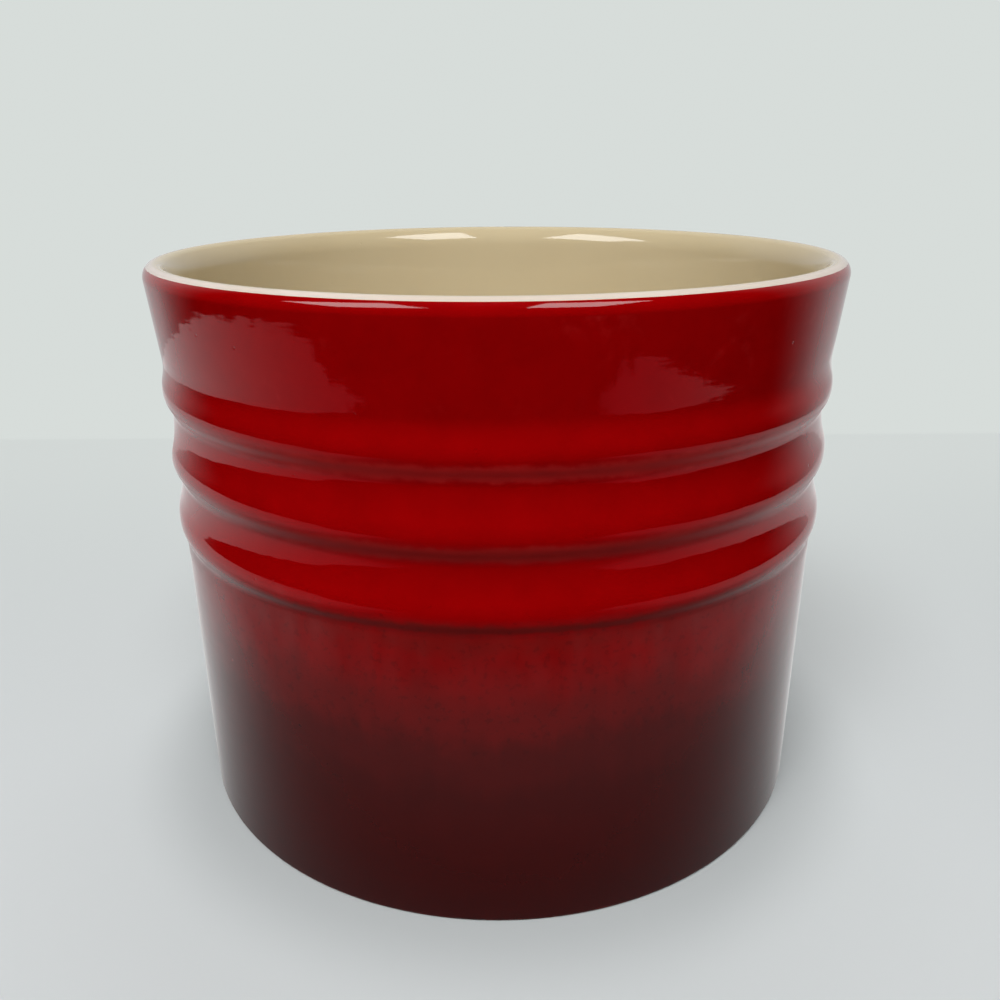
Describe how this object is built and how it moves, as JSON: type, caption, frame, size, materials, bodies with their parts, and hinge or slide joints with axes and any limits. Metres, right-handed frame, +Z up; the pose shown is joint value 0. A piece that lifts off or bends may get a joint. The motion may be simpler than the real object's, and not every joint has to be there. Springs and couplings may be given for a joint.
{
  "type": "utensil crock",
  "caption": "Wide glazed stoneware utensil crock with soft rings round its upper wall, a flared collar and a cream liner; stands on a worktop and holds kitchen tools upright.",
  "frame": {"origin": "centre of the foot ring, on the surface that the crock stands on", "axes": "+Z up along the pot's axis, -X towards the smooth pad in the middle ring"},
  "size_m": [0.1752, 0.1752, 0.141],
  "materials": {
    "stoneware": "bare fired stoneware, fine matt grain",
    "red_glaze": "glossy red glaze that darkens to brown-black towards the foot",
    "cream_glaze": "glossy cream glaze on the rim and inside",
    "dark_glaze": "glossy brown-black glaze under the base"
  },
  "bodies": {
    "root": {"stoneware_body": "stoneware", "outer_glaze": "red_glaze", "inner_glaze": "cream_glaze", "base_glaze": "dark_glaze"}
  },
  "joints": []
}
